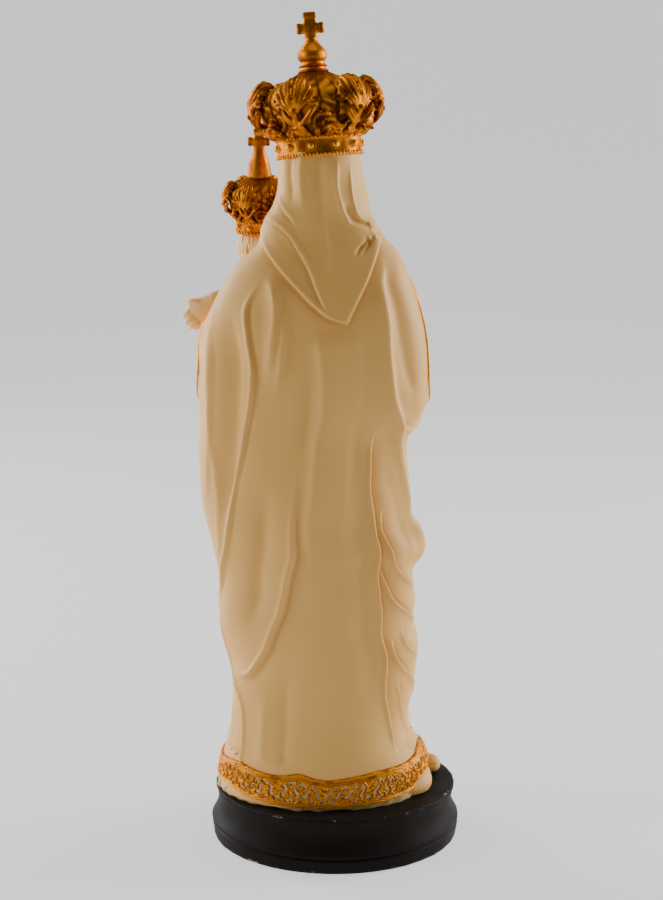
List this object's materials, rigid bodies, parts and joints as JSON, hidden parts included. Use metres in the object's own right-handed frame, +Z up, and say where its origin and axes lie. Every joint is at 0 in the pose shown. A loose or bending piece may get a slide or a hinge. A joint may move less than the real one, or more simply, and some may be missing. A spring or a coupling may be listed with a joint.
{
  "type": "madonna statue",
  "caption": "Crowned madonna in a long draped mantle, holding a crowned child on the left arm, on a round stepped plinth.",
  "frame": {"origin": "centre of the plinth's underside, on the surface that the statue stands on", "axes": "+Z up, through the plinth's axis towards the crown; the figure faces -Y and the child is on the +X side"},
  "size_m": [0.0996, 0.093, 0.2999],
  "materials": {
    "ivory_paint": "cast resin painted satin ivory, with an amber wash left in the folds",
    "gold_paint": "cast resin painted antique gold over brown, rubbed bright on the high points",
    "black_paint": "cast resin painted satin black, with a few pale chips on its edges",
    "felt": "short green felt, glued into the underside",
    "steel": "plain zinc-plated steel"
  },
  "bodies": {
    "root": {"plinth": "black_paint", "felt_pad": "felt", "plinth_screw": "steel", "screw_washer": "steel", "base_pin_1": "steel", "base_pin_2": "steel", "robe_casting": "ivory_paint", "head_casting": "ivory_paint", "neck_pin": "steel", "crown": "gold_paint", "crown_pin": "steel", "crown_cross": "gold_paint", "right_sleeve": "ivory_paint", "right_hand": "ivory_paint", "left_hand": "ivory_paint", "child_body": "ivory_paint", "child_pin": "steel", "child_left_arm": "ivory_paint", "child_right_arm": "ivory_paint", "child_crown": "gold_paint", "child_crown_cross": "gold_paint"}
  },
  "joints": []
}
